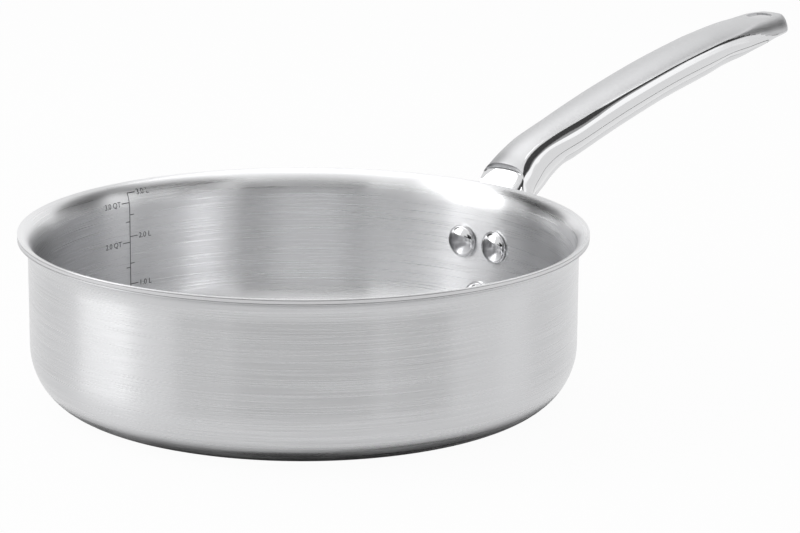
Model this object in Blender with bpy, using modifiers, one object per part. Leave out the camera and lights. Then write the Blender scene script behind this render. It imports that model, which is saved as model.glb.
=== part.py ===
"""Saute pan: a clad steel body with a riveted hollow steel handle.

Everything is in metres, +Z up. The origin is the middle of the base, on the
surface that the pan stands on, and the handle points along +X.
"""
import math
from collections import namedtuple

import bmesh
import bpy
import numpy as np
from mathutils import Matrix, Vector

# Pan body: one clad sheet, drawn to a straight wall with a pouring lip
WALL_OUTER_RADIUS = 0.140
PAN_HEIGHT = 0.087
CORNER_WIDTH = 0.0255       # base to wall rounding, measured across
CORNER_HEIGHT = 0.0295      # base to wall rounding, measured up the wall
LIP_REACH = 0.0052          # how far the lip stands out from the wall
FLARE_HEIGHT = 0.011        # height over which the wall turns out to the lip

# The sheet's three layers, from the hob side to the food side
OUTER_PLY = 0.0005
CORE_PLY = 0.0018
INNER_PLY = 0.0005
BOND_GAP = 0.0001           # keeps the bonded layers apart as solids

# Rivets: turned heads inside the pan, shanks through wall and flange
RIVET_SPACING = 0.0234      # between the two upper rivets
RIVET_UPPER_SHARE = 0.629   # rivet heights, as shares of the pan's height
RIVET_LOWER_SHARE = 0.278
RIVET_HEAD_RADIUS = 0.00875
RIVET_HEAD_EDGE = 0.0010    # straight side of the domed head
RIVET_HEAD_DOME = 0.0032
RIVET_SHANK_RADIUS = 0.0030
RIVET_TAIL_RADIUS = 0.0050
RIVET_TAIL_DOME = 0.0018
RIVET_HOLE_GAP = 0.0003     # shank to hole, on the radius
SEAT_GAP = 0.0003           # between pieces that rest on each other

# Handle root: a flange on the wall and a neck that clears the lip
FLANGE_THICKNESS = 0.0035
FLANGE_MARGIN = 0.0105      # from a rivet's middle to the flange's edge
FLANGE_ROOT_DEPTH = 0.008   # stock inside the wall line, cut away to fit it
FLANGE_SHOULDER = 0.15      # how much of the margin the flange loses above the rivets
NECK_CLEARANCE = 0.0080     # from the lip to the front of the neck
NECK_HALF_WIDTH = 0.0160    # half across the neck's two legs, at the rim's height
SCOOP_DEPTH = 0.0060        # hollow between the legs, facing the pan
SCOOP_SIZE = (0.0140, 0.0176, 0.0130)   # half sizes of the ball that cuts it
SCOOP_BELOW_RIM = 0.0050
LEDGE_BELOW_RIM = 0.0118    # where the upper shell's legs stand on the lower shell

# Handle grip: two shells welded along the flanks
HANDLE_REACH = 0.2670       # from the wall to the handle's end
GRIP_START = 0.070          # from the wall to the first upright section
SHELL_WALL = 0.0020
SEAM_GAP = 0.0003
SEAM_SHARE = 0.55           # how far down the flank the two shells meet
GROOVE_DEPTH = 0.0008       # step under the shoulder
SHOULDER_HEIGHT = 0.0010    # rounded edge of the top face, along the neck
SHOULDER_ROUND = 0.0035     # most that the rounded edge takes off the width
UNDERSIDE_ROUND = 0.0035
UNDERSIDE_CROWN = 0.0010
FOOT_SHARE = 0.68           # underside's width against the top face's

# Handle end: the upper shell runs on alone as a tab with the hanging hole
TAB_LENGTH = 0.0310
HOLE_FROM_END = 0.0173      # also the radius of the round end
HOLE_RADIUS = 0.0074
END_ROUND = 0.0045          # how far back from the end the top turns down
END_DEPTH = 0.0050          # how far down it turns
END_BLUNT = 0.25            # narrowest section at the end, against the round end's radius
EDGE_LEFT = 0.1             # least of the top's rounded edge that the end keeps
TAB_ROUNDING = 0.15         # least of the underside's rounding that the tab keeps

# Neck sections from the flange to the grip: the top's place from the neck's front, as
# a share of the way to the grip, and its height from the rim; the same for the
# underside, but from the lip; half width; underside's half width; crown
NECK_ROOT = [(-0.308, -0.0190, 0.054, -0.0230, 0.0195, 0.0140, 0.0003),
             (-0.194, -0.0145, 0.162, -0.0203, 0.0182, 0.0115, 0.0005)]
NECK_ARCH = [(-0.070, -0.0095, 0.293, -0.0170, 0.0172, 0.0105, 0.0008),
             (-0.009, -0.0025, 0.432, -0.0127, NECK_HALF_WIDTH, 0.0092, 0.0012),
             (0.009, 0.0040, 0.525, -0.0097, 0.0140, 0.0084, 0.0018),
             (0.060, 0.0098, 0.610, -0.0069, 0.0117, 0.0076, 0.0026)]
NECK_RISE = [(0.176, 0.0155, 0.710, -0.0028, 0.0100, 0.0069, 0.0028),
             (0.423, 0.0220, 0.841, 0.0018, 0.0100, 0.0070, 0.0030)]

# Grip outlines as (share of the grip's length, height above the rim or size)
TOP_LINE = [(0.0, 0.0318), (0.155, 0.0402), (0.31, 0.0478), (0.465, 0.0546),
            (0.62, 0.0600), (0.74, 0.0624), (0.84, 0.0634), (0.92, 0.0644), (1.0, 0.0646)]
UNDER_LINE = [(0.0, 0.0050), (0.155, 0.0147), (0.31, 0.0235), (0.465, 0.0310),
              (0.62, 0.0374), (0.74, 0.0437), (0.84, 0.0508), (0.92, 0.0546), (1.0, 0.0552)]
WIDTH_LINE = [(0.0, 0.0114), (0.155, 0.0130), (0.31, 0.0139), (0.465, 0.0148), (0.62, 0.0154),
              (0.74, 0.0162), (0.84, 0.0169), (0.92, HOLE_FROM_END), (1.0, HOLE_FROM_END)]
CROWN_LINE = [(0.0, 0.0034), (0.31, 0.0042), (0.62, 0.0044), (0.74, 0.0038), (0.84, 0.0022),
              (0.92, 0.0012), (1.0, 0.0010)]
SHOULDER_LINE = [(0.0, 0.0010), (0.5, 0.0010), (0.62, 0.0013), (0.74, 0.0025), (0.84, 0.0045),
                 (0.92, 0.0055), (1.0, 0.0055)]

# Where the sections stand: along the grip up to the tab, from there to the hanging
# hole's middle, and from that to the end
GRIP_SHARES = [0.0, 0.12, 0.24, 0.36, 0.48, 0.59, 0.71, 0.81, 0.89, 0.95, 0.975, 0.997]
TAB_SHARES = [0.18, 0.61, 1.0]
END_SHARES = [0.26, 0.51, 0.74, 0.84, 0.92, 0.977, 1.0]

# Metals as (colour, metallic, roughness)
BRUSHED_STEEL = ((0.62, 0.62, 0.61), 1.0, 0.32)
POLISHED_STEEL = ((0.70, 0.70, 0.70), 1.0, 0.12)
ALUMINIUM = ((0.80, 0.80, 0.82), 1.0, 0.40)

# Smoothness
ROUND_STEPS = 52
CORNER_STEPS = 5
FLARE_STEPS = 4
RIVET_STEPS = 16
DOME_STEPS = 4
HOLE_STEPS = 24

SHEET = OUTER_PLY + CORE_PLY + INNER_PLY + 2 * BOND_GAP
LIP_RADIUS = WALL_OUTER_RADIUS + LIP_REACH
FLARE_START = PAN_HEIGHT - SHEET - FLARE_HEIGHT
WALL_INNER_RADIUS = WALL_OUTER_RADIUS - SHEET
RIVET_UPPER_HEIGHT = RIVET_UPPER_SHARE * PAN_HEIGHT
RIVET_LOWER_HEIGHT = RIVET_LOWER_SHARE * PAN_HEIGHT
FLANGE_HALF_WIDTH = RIVET_SPACING / 2 + FLANGE_MARGIN
GRIP_X = WALL_OUTER_RADIUS + GRIP_START
HANDLE_END = WALL_OUTER_RADIUS + HANDLE_REACH
HOLE_X = HANDLE_END - HOLE_FROM_END
TAB_START = HANDLE_END - TAB_LENGTH

Station = namedtuple("Station", "top under half_width foot crown under_crown shoulder groove rounding")


def new_collection(name):
    collection = bpy.data.collections.new(name)
    bpy.context.scene.collection.children.link(collection)
    return collection


def give_metal(piece, metal):
    """Give a piece a material of its own, in one of the metals above."""
    colour, metallic, roughness = metal
    material = bpy.data.materials.new(piece.name + "_metal")
    material.use_nodes = True
    shader = material.node_tree.nodes["Principled BSDF"]
    shader.inputs["Base Color"].default_value = (*colour, 1.0)
    shader.inputs["Metallic"].default_value = metallic
    shader.inputs["Roughness"].default_value = roughness
    piece.data.materials.append(material)


def add_mesh_object(name, mesh, collection):
    piece = bpy.data.objects.new(name, mesh)
    collection.objects.link(piece)
    return piece


def make_cutter(piece):
    piece.hide_render = True
    piece.display_type = "WIRE"
    return piece


def freeze(piece):
    """Replace an object's mesh by its evaluated one, with its caps welded."""
    evaluated = piece.evaluated_get(bpy.context.evaluated_depsgraph_get())
    mesh = bpy.data.meshes.new_from_object(evaluated)
    welded = bmesh.new()
    welded.from_mesh(mesh)
    bmesh.ops.remove_doubles(welded, verts=welded.verts, dist=1e-6)
    welded.to_mesh(mesh)
    welded.free()
    frozen = add_mesh_object(piece.name + "_mesh", mesh, piece.users_collection[0])
    frozen.matrix_world = piece.matrix_world.copy()
    name = piece.name
    bpy.data.objects.remove(piece)
    frozen.name = name
    return frozen


def cut(piece, cutter, operation="DIFFERENCE"):
    modifier = piece.modifiers.new(cutter.name, "BOOLEAN")
    modifier.operation = operation
    modifier.object = cutter
    modifier.solver = "EXACT"
    return modifier


def turned(name, profile, steps, collection):
    """Solid of revolution about Z from a profile of (radius, height) points.

    The profile starts and ends on the axis, and runs over the top and then
    down its outer side.
    """
    mesh = bpy.data.meshes.new(name)
    points = [(radius, 0.0, height) for radius, height in profile]
    edges = [(index, index + 1) for index in range(len(points) - 1)]
    mesh.from_pydata(points, edges, [])
    piece = add_mesh_object(name, mesh, collection)
    screw = piece.modifiers.new("Screw", "SCREW")
    screw.axis = "Z"
    screw.steps = steps
    screw.render_steps = steps
    screw.use_merge_vertices = True
    screw.merge_threshold = 0.00001
    screw.use_smooth_shade = False
    return piece


def smooth_value(line, share):
    """Value at a share of a line of (share, value) points, on a smooth curve."""
    shares = [point[0] for point in line]
    values = [point[1] for point in line]
    slopes = np.gradient(values, shares)
    last = len(line) - 2
    index = min(max(int(np.searchsorted(shares, share)) - 1, 0), last)
    width = shares[index + 1] - shares[index]
    t = (share - shares[index]) / width
    start = (1 + 2 * t) * (1 - t) ** 2 * values[index] + t * (1 - t) ** 2 * width * slopes[index]
    end = t * t * (3 - 2 * t) * values[index + 1] + t * t * (t - 1) * width * slopes[index + 1]
    return float(start + end)


def moved_in(point, normal, depth):
    length = math.hypot(*normal)
    return (point[0] - depth * normal[0] / length, point[1] - depth * normal[1] / length)


def skin(depth):
    """Sheet profile at a depth under the hob-side skin, from the axis to the lip."""
    flat_radius = WALL_OUTER_RADIUS - CORNER_WIDTH
    points = [(0.0, depth)]
    for step in range(CORNER_STEPS + 1):
        angle = math.pi / 2 * step / CORNER_STEPS
        across, down = math.sin(angle), math.cos(angle)
        point = (flat_radius + CORNER_WIDTH * across, CORNER_HEIGHT * (1 - down))
        points.append(moved_in(point, (across / CORNER_WIDTH, -down / CORNER_HEIGHT), depth))
    for step in range(FLARE_STEPS + 1):
        angle = math.pi / 2 * step / FLARE_STEPS
        up, out = math.sin(angle), math.cos(angle)
        point = (LIP_RADIUS - LIP_REACH * out, FLARE_START + FLARE_HEIGHT * up)
        points.append(moved_in(point, (out / LIP_REACH, -up / FLARE_HEIGHT), depth))
    return points


def skin_radius(depth, height):
    """Radius of the wall or corner at a height, up to where the lip flares."""
    points = skin(depth)[1:CORNER_STEPS + 3]
    heights = [point[1] for point in points]
    radii = [point[0] for point in points]
    return float(np.interp(height, heights, radii))


def make_ply(name, near, far, collection):
    """One layer of the sheet between two depths under the hob-side skin."""
    return turned(name, skin(far) + skin(near)[::-1], ROUND_STEPS, collection)


def rivet_tilt(height):
    """Lean of a rivet that is square to the wall, or to the corner below it."""
    low = skin_radius(SHEET, height - RIVET_HEAD_RADIUS)
    high = skin_radius(SHEET, height + RIVET_HEAD_RADIUS)
    return math.atan2(high - low, 2 * RIVET_HEAD_RADIUS)


def rivet_frame(height, side):
    """Matrix whose +Z runs along a rivet, out of the pan, from the inner skin.

    side is -1, 0 or 1: right of the handle, on its middle, or left of it.
    """
    turn = math.asin(side * RIVET_SPACING / 2 / WALL_OUTER_RADIUS)
    lean = math.pi / 2 + rivet_tilt(height)
    start = Vector((skin_radius(SHEET, height), 0.0, height))
    return Matrix.Rotation(turn, 4, "Z") @ Matrix.Translation(start) @ Matrix.Rotation(lean, 4, "Y")


def head_seat(frame):
    """Distance from the inner skin to the head's flat side, so its edge clears."""
    inner_flat = math.cos(math.pi / ROUND_STEPS)
    needed = 0.0
    for step in range(RIVET_STEPS):
        angle = 2 * math.pi * step / RIVET_STEPS
        rim = (RIVET_HEAD_RADIUS * math.cos(angle), RIVET_HEAD_RADIUS * math.sin(angle), 0.0)
        edge = frame @ Vector(rim)
        room = skin_radius(SHEET, edge.z) * inner_flat - math.hypot(edge.x, edge.y)
        needed = max(needed, -room)
    return needed + SEAT_GAP


def dome(radius, edge, rise):
    """Quarter profile of a domed head, from its middle to its flat side."""
    points = []
    for step in range(DOME_STEPS + 1):
        angle = math.pi / 2 * step / DOME_STEPS
        points.append((radius * math.sin(angle), edge + rise * math.cos(angle)))
    points.append((radius, 0.0))
    return points


def make_rivet(name, height, side, collection):
    """Domed head inside, shank through the wall and flange, low tail outside."""
    frame = rivet_frame(height, side)
    seat = head_seat(frame)
    grip = SHEET + FLANGE_THICKNESS + 2 * SEAT_GAP + seat
    head = [(radius, -rise) for radius, rise in dome(RIVET_HEAD_RADIUS, RIVET_HEAD_EDGE, RIVET_HEAD_DOME)]
    tail = [(radius, grip + rise) for radius, rise in dome(RIVET_TAIL_RADIUS, 0.0, RIVET_TAIL_DOME)[:-1]]
    profile = tail + [(RIVET_SHANK_RADIUS, grip), (RIVET_SHANK_RADIUS, 0.0)] + head[::-1]
    piece = turned(name, profile, RIVET_STEPS, collection)
    piece.matrix_world = frame @ Matrix.Translation((0.0, 0.0, -seat))
    return piece


def make_rivet_drill(name, height, side, collection):
    bpy.ops.mesh.primitive_cylinder_add(vertices=RIVET_STEPS, radius=RIVET_SHANK_RADIUS + RIVET_HOLE_GAP,
                                        depth=8 * (SHEET + FLANGE_THICKNESS))
    drill = bpy.context.object
    drill.name = name
    move_to(drill, collection)
    drill.matrix_world = rivet_frame(height, side)
    return make_cutter(drill)


def move_to(piece, collection):
    for old in list(piece.users_collection):
        old.objects.unlink(piece)
    collection.objects.link(piece)


def flange_station(height, half_width):
    """Level section of the flange: from inside the wall line to its back."""
    back = skin_radius(0.0, height) + SEAT_GAP + FLANGE_THICKNESS
    return Station(top=(back - FLANGE_THICKNESS - FLANGE_ROOT_DEPTH, height), under=(back, height),
                   half_width=half_width, foot=half_width, crown=0.0,
                   under_crown=half_width ** 2 / (2 * back), shoulder=SHOULDER_HEIGHT,
                   groove=0.0, rounding=SHOULDER_HEIGHT)


def flange_stations():
    """Shield shape: round below the lower rivet, widest at the upper two."""
    low, high = RIVET_LOWER_HEIGHT, RIVET_UPPER_HEIGHT
    stations = []
    for share in (0.98, 0.8, 0.45, 0.0):
        half_width = FLANGE_MARGIN * math.sqrt(1 - share ** 2)
        stations.append(flange_station(low - FLANGE_MARGIN * share, half_width))
    for share in (0.35, 0.7, 1.0):
        half_width = FLANGE_MARGIN + (FLANGE_HALF_WIDTH - FLANGE_MARGIN) * math.sin(math.pi / 2 * share)
        stations.append(flange_station(low + (high - low) * share, half_width))
    tail_top = high + RIVET_TAIL_RADIUS + SEAT_GAP
    stations.append(flange_station(tail_top, FLANGE_HALF_WIDTH - FLANGE_SHOULDER * FLANGE_MARGIN))
    return stations


def neck_stations(sections):
    """Leaning sections that carry the flange out under the lip and up to the grip."""
    run = GRIP_X - LIP_RADIUS
    stations = []
    for top_share, top_rise, under_share, under_rise, half_width, foot, crown in sections:
        top_x = LIP_RADIUS + NECK_CLEARANCE + (run - NECK_CLEARANCE) * top_share
        under_x = LIP_RADIUS + run * under_share
        stations.append(Station(top=(top_x, PAN_HEIGHT + top_rise), under=(under_x, PAN_HEIGHT + under_rise),
                                half_width=half_width, foot=foot, crown=crown,
                                under_crown=UNDERSIDE_CROWN, shoulder=SHOULDER_HEIGHT,
                                groove=GROOVE_DEPTH, rounding=UNDERSIDE_ROUND))
    return stations


def grip_station(x, inset=0.0):
    """Upright section of the grip or tab, or of a body inside it by an inset."""
    share = (x - GRIP_X) / (HANDLE_END - GRIP_X)
    top = PAN_HEIGHT + smooth_value(TOP_LINE, share) - inset
    under = PAN_HEIGHT + smooth_value(UNDER_LINE, share) + inset
    half_width = smooth_value(WIDTH_LINE, share) - inset
    round_end = HOLE_FROM_END - inset
    past_hole = (x - HOLE_X) * round_end / HOLE_FROM_END
    if past_hole > 0:
        x = HOLE_X + past_hole
        half_width = math.sqrt(max(round_end ** 2 - past_hole ** 2, (END_BLUNT * round_end) ** 2))
    crown = smooth_value(CROWN_LINE, share) * half_width / smooth_value(WIDTH_LINE, share)
    shoulder = smooth_value(SHOULDER_LINE, share)
    past_turn = x - (HANDLE_END - inset - END_ROUND)
    if past_turn > 0:
        turned_down = END_DEPTH * (1 - math.sqrt(max(1 - (past_turn / END_ROUND) ** 2, 0.0)))
        top -= turned_down
        shoulder = max(shoulder - turned_down, EDGE_LEFT * SHOULDER_HEIGHT)
    fade = min(max((TAB_START - x) / TAB_LENGTH, 0.0), 1.0)
    rounding = UNDERSIDE_ROUND * (TAB_ROUNDING + (1 - TAB_ROUNDING) * fade)
    return Station(top=(x, top), under=(x, under), half_width=half_width,
                   foot=half_width * (1 - (1 - FOOT_SHARE) * fade), crown=crown,
                   under_crown=UNDERSIDE_CROWN * fade, shoulder=shoulder,
                   groove=GROOVE_DEPTH * fade, rounding=rounding)


def tray_station(x):
    """Section of the space under the tab, open below."""
    station = grip_station(x, SHELL_WALL)
    return station._replace(under=(station.under[0], station.under[1] - 2 * END_DEPTH))


def places(start, end, shares):
    return [start + (end - start) * share for share in shares]


def section_axes(station):
    """Middle of the top, unit vector down to the underside, and the depth."""
    across = (station.under[0] - station.top[0], station.under[1] - station.top[1])
    depth = math.hypot(*across)
    return station.top, (across[0] / depth, across[1] / depth), depth


def flank_top(station):
    return station.crown + station.shoulder + station.groove


def flank_bottom(station, depth):
    return depth - station.under_crown - station.rounding


def half_outline(station, depth):
    """Half section as (sideways, down) points, from the top to the underside."""
    half, foot, crown, shoulder = station.half_width, station.foot, station.crown, station.shoulder
    ledge = half - station.groove
    top, bottom = flank_top(station), flank_bottom(station, depth)
    edge = min(0.8 * shoulder, SHOULDER_ROUND, 0.4 * half)
    flat = half - edge
    flat_drop = crown * (flat / half) ** 2
    outline = [(share * flat, crown * (share * flat / half) ** 2) for share in (0.0, 0.4, 0.75, 1.0)]
    outline.append((flat + 0.7 * edge, flat_drop + 0.3 * (crown + shoulder - flat_drop)))
    outline.append((half, crown + shoulder))
    for share in (0.0, 0.33, 0.67, 1.0):
        outline.append((ledge + (foot - ledge) * share ** 2, top + (bottom - top) * share))
    rounding = min(station.rounding, 0.6 * foot)
    outline.append((foot - 0.3 * rounding, bottom + 0.7 * station.rounding))
    outline.append((foot - rounding, depth - station.under_crown * (1 - rounding / foot) ** 2))
    outline.append((0.5 * (foot - rounding), depth - 0.25 * station.under_crown))
    outline.append((0.0, depth))
    return outline


def section_ring(station, inset=0.0):
    """Closed ring of 3-D points round a section, optionally shrunk by a wall."""
    (top_x, top_z), (down_x, down_z), depth = section_axes(station)
    if inset:
        station = station._replace(half_width=station.half_width - inset,
                                   foot=station.foot - inset, groove=0.0)
        top_x, top_z = top_x + inset * down_x, top_z + inset * down_z
        depth -= 2 * inset
    half = half_outline(station, depth)
    ring = half + [(-side, down) for side, down in half[-2:0:-1]]
    return [(top_x + down * down_x, side, top_z + down * down_z) for side, down in ring]


def loft(name, rings, collection):
    """Closed solid through rings with equal numbers of points, in flat triangles."""
    count = len(rings[0])
    solid = bmesh.new()
    loops = [[solid.verts.new(point) for point in ring] for ring in rings]
    for near, far in zip(loops, loops[1:]):
        for index in range(count):
            after = (index + 1) % count
            solid.faces.new((near[index], near[after], far[after], far[index]))
    solid.faces.new(loops[0][::-1])
    solid.faces.new(loops[-1])
    bmesh.ops.recalc_face_normals(solid, faces=solid.faces)
    bmesh.ops.triangulate(solid, faces=solid.faces)
    mesh = bpy.data.meshes.new(name)
    solid.to_mesh(mesh)
    solid.free()
    return add_mesh_object(name, mesh, collection)


def seam_line(stations, offset):
    """Side view of the line where the shells meet, moved down by an offset.

    Its corners lie between the stations, clear of the loft's own edges.
    """
    line = []
    for station in stations:
        (top_x, top_z), (down_x, down_z), depth = section_axes(station)
        top, bottom = flank_top(station), flank_bottom(station, depth)
        down = top + SEAM_SHARE * (bottom - top) + offset
        line.append((top_x + down * down_x, top_z + down * down_z))
    return [((near[0] + far[0]) / 2, (near[1] + far[1]) / 2) for near, far in zip(line, line[1:])]


def side_block(name, outline, half_width, collection):
    """Solid from an outline in the XZ plane, as thick as twice half_width."""
    curve = bpy.data.curves.new(name, "CURVE")
    curve.dimensions = "2D"
    curve.fill_mode = "BOTH"
    curve.extrude = half_width
    spline = curve.splines.new("POLY")
    spline.points.add(len(outline) - 1)
    for point, (x, z) in zip(spline.points, outline):
        point.co = (x, z, 0.0, 1.0)
    spline.use_cyclic_u = True
    block = bpy.data.objects.new(name, curve)
    collection.objects.link(block)
    block.matrix_world = Matrix.Rotation(math.pi / 2, 4, "X")
    bpy.context.view_layer.update()
    return make_cutter(freeze(block))


def build_pan(drills, parts):
    """Three bonded layers, drilled together for the rivets."""
    core_near = OUTER_PLY + BOND_GAP
    core_far = core_near + CORE_PLY
    layers = (("pan_outer_ply", 0.0, OUTER_PLY, BRUSHED_STEEL),
              ("pan_core", core_near, core_far, ALUMINIUM),
              ("pan_inner_ply", core_far + BOND_GAP, SHEET, BRUSHED_STEEL))
    for name, near, far, metal in layers:
        ply = make_ply(name, near, far, parts)
        give_metal(ply, metal)
        for drill in drills:
            cut(ply, drill)


def make_wall_fit(cutters):
    """Everything inside the wall and corner, with the flange's seat gap."""
    wall = [(radius + SEAT_GAP, height) for radius, height in skin(0.0)[CORNER_STEPS + 1:0:-1]]
    profile = [(0.0, PAN_HEIGHT), (WALL_OUTER_RADIUS + SEAT_GAP, PAN_HEIGHT)] + wall + [(0.0, 0.0)]
    return make_cutter(turned("wall_fit", profile, ROUND_STEPS, cutters))


def make_scoop(cutters):
    bpy.ops.mesh.primitive_uv_sphere_add(segments=24, ring_count=12, radius=1.0)
    scoop = bpy.context.object
    scoop.name = "scoop"
    move_to(scoop, cutters)
    scoop.scale = SCOOP_SIZE
    scoop_back = LIP_RADIUS + NECK_CLEARANCE + SCOOP_DEPTH
    scoop.location = (scoop_back - SCOOP_SIZE[0], 0.0, PAN_HEIGHT - SCOOP_BELOW_RIM)
    return make_cutter(scoop)


def make_hanging_drill(cutters):
    bpy.ops.mesh.primitive_cylinder_add(vertices=HOLE_STEPS, radius=HOLE_RADIUS, depth=2 * PAN_HEIGHT,
                                        location=(HOLE_X, 0.0, 2 * PAN_HEIGHT))
    drill = bpy.context.object
    drill.name = "hanging_drill"
    move_to(drill, cutters)
    return make_cutter(drill)


def make_seam_blocks(stations, cutters):
    """Side-on blocks above and below the seam, which part the handle in two."""
    above, below = 3 * PAN_HEIGHT, -PAN_HEIGHT
    ledge = PAN_HEIGHT - LEDGE_BELOW_RIM
    upper_line = seam_line(stations, -SEAM_GAP / 2)
    lower_line = seam_line(stations, SEAM_GAP / 2)
    tab_edge = TAB_START + SEAM_GAP
    upper_outline = ([(WALL_INNER_RADIUS, above), (WALL_INNER_RADIUS, ledge + SEAM_GAP)] + upper_line
                     + [(tab_edge, upper_line[-1][1]), (tab_edge, below),
                        (2 * HANDLE_END, below), (2 * HANDLE_END, above)])
    lower_outline = ([(0.0, below), (0.0, ledge), (WALL_INNER_RADIUS, ledge)] + lower_line
                     + [(TAB_START, lower_line[-1][1]), (TAB_START, below)])
    half_width = 2 * FLANGE_HALF_WIDTH
    return (side_block("above_seam", upper_outline, half_width, cutters),
            side_block("below_seam", lower_outline, half_width, cutters))


def build_handle(drills, parts, cutters):
    """One lofted solid, fitted to the wall, hollowed, and parted along the seam."""
    root, arch, rise = [neck_stations(sections) for sections in (NECK_ROOT, NECK_ARCH, NECK_RISE)]
    grip = [grip_station(x) for x in places(GRIP_X, TAB_START, GRIP_SHARES)]
    tab_places = places(TAB_START, HOLE_X, TAB_SHARES) + places(HOLE_X, HANDLE_END, END_SHARES)
    tab = [grip_station(x) for x in tab_places]
    rings = [section_ring(station) for station in flange_stations() + root + arch + rise + grip + tab]
    hollow_rings = [section_ring(station, SHELL_WALL) for station in rise + grip[:-1]]
    tray_rings = [section_ring(tray_station(x)) for x in tab_places]
    hollow = make_cutter(loft("grip_hollow", hollow_rings, cutters))
    tray = make_cutter(loft("tab_hollow", tray_rings, cutters))
    above_seam, below_seam = make_seam_blocks(arch + rise + grip, cutters)
    shared = [make_wall_fit(cutters), make_scoop(cutters), hollow]
    shells = (("handle_upper_shell", above_seam, [tray, make_hanging_drill(cutters)]),
              ("handle_lower_shell", below_seam, drills))
    for name, side, own in shells:
        shell = loft(name, rings, parts)
        give_metal(shell, POLISHED_STEEL)
        cut(shell, side, "INTERSECT")
        for cutter in shared + own:
            cut(shell, cutter)


def main():
    for old in list(bpy.data.objects):
        bpy.data.objects.remove(old)
    parts = new_collection("saute_pan")
    cutters = new_collection("cutters")
    rivets = (("rivet_left", RIVET_UPPER_HEIGHT, 1), ("rivet_right", RIVET_UPPER_HEIGHT, -1),
              ("rivet_lower", RIVET_LOWER_HEIGHT, 0))
    drills = []
    for name, height, side in rivets:
        give_metal(make_rivet(name, height, side, parts), POLISHED_STEEL)
        drills.append(make_rivet_drill(name + "_drill", height, side, cutters))
    build_pan(drills, parts)
    build_handle(drills, parts, cutters)


main()
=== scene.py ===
# %% [markdown]
# # A saute pan in clad steel
# The real pan is one sheet of three bonded metals, drawn to a straight wall with
# a pouring lip. A hollow handle, welded from two pressed shells, is held to the
# wall by three rivets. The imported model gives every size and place. Here each
# of its parts gets a smooth surface and its finish, in the light of a small
# photo studio.

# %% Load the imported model
import math

import bpy
from mathutils import Matrix, Quaternion, Vector


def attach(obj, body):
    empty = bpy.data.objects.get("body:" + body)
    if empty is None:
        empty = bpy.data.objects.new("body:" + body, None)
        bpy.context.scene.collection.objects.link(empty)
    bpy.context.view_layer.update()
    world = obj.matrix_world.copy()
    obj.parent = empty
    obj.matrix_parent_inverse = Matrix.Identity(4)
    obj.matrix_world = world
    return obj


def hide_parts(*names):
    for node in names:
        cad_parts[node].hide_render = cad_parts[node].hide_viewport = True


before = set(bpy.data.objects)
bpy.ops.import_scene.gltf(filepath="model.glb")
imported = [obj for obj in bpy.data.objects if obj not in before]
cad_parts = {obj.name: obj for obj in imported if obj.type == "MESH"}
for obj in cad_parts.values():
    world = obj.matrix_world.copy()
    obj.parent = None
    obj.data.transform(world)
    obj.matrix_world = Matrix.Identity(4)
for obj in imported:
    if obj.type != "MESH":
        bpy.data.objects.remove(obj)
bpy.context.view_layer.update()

print("packed nodes:", ", ".join(sorted(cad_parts)))

# %% [markdown]
# ## The camera
# A long lens a metre and a half away keeps the round rim close to a true
# ellipse, as in a catalogue picture. Its place and turn were fitted to the rim,
# the base and the handle's end, so it needs no lens shift. Angles are in
# degrees: a turn of 0 looks along +Y.

# %% Camera
CAMERA_PLACE = (-1.0697, -1.0388, 0.4396)
CAMERA_TURN = -47.72
CAMERA_HEIGHT_ANGLE = 14.04
CAMERA_ROLL = 0.45
CAMERA_LENS = 135.3     # millimetres
CLIP_NEAR, CLIP_FAR = 0.05, 20.0

turn = math.radians(CAMERA_TURN)
rise = math.radians(CAMERA_HEIGHT_ANGLE)
tilt = math.radians(CAMERA_ROLL)
looking_back = Vector((math.sin(turn) * math.cos(rise),
                       -math.cos(turn) * math.cos(rise),
                       math.sin(rise)))
facing = (-looking_back).to_track_quat("-Z", "Y") @ Quaternion((0, 0, 1), tilt)
bpy.ops.object.camera_add(location=CAMERA_PLACE, rotation=facing.to_euler())
camera = bpy.context.object
camera.name = "camera"
camera.data.lens = CAMERA_LENS
camera.data.clip_start = CLIP_NEAR
camera.data.clip_end = CLIP_FAR
bpy.context.scene.camera = camera
bpy.context.scene.view_settings.view_transform = "Standard"
print("camera lens", camera.data.lens, "mm")

# %% [markdown]
# ## Helpers
# Lamps and cards stand round the pan, so they are placed by their angle from
# the camera: positive is to the right in the picture. Each one faces the pan.
# The steps that nearly every mesh goes through are gathered here too.

# %% Places round the pan
AIM = Vector((0.0, 0.0, 0.06))
TOWARDS_CAMERA = math.atan2(CAMERA_PLACE[1], CAMERA_PLACE[0])


def around(angle, distance, height):
    """A place at an angle right of the camera, a distance from the pan's axis."""
    way = TOWARDS_CAMERA + math.radians(angle)
    return Vector((distance * math.cos(way), distance * math.sin(way), height))


def facing_pan(place):
    """The turn that makes a lamp or a card at a place face the pan."""
    return (AIM - place).to_track_quat("-Z", "Y").to_euler()


print("the camera stands at", round(math.degrees(TOWARDS_CAMERA), 1), "degrees")

# %% Selecting and editing
def deselect():
    """Leave nothing selected, so that an operator touches only what comes next."""
    bpy.ops.object.select_all(action="DESELECT")


def open_mesh():
    """Enter edit mode with the whole mesh selected."""
    bpy.ops.object.mode_set(mode="EDIT")
    bpy.ops.mesh.select_all(action="SELECT")


def close_mesh():
    """Turn all faces outwards and leave edit mode."""
    bpy.ops.mesh.select_all(action="SELECT")
    bpy.ops.mesh.normals_make_consistent(inside=False)
    bpy.ops.object.mode_set(mode="OBJECT")


print("helpers ready")
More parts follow.
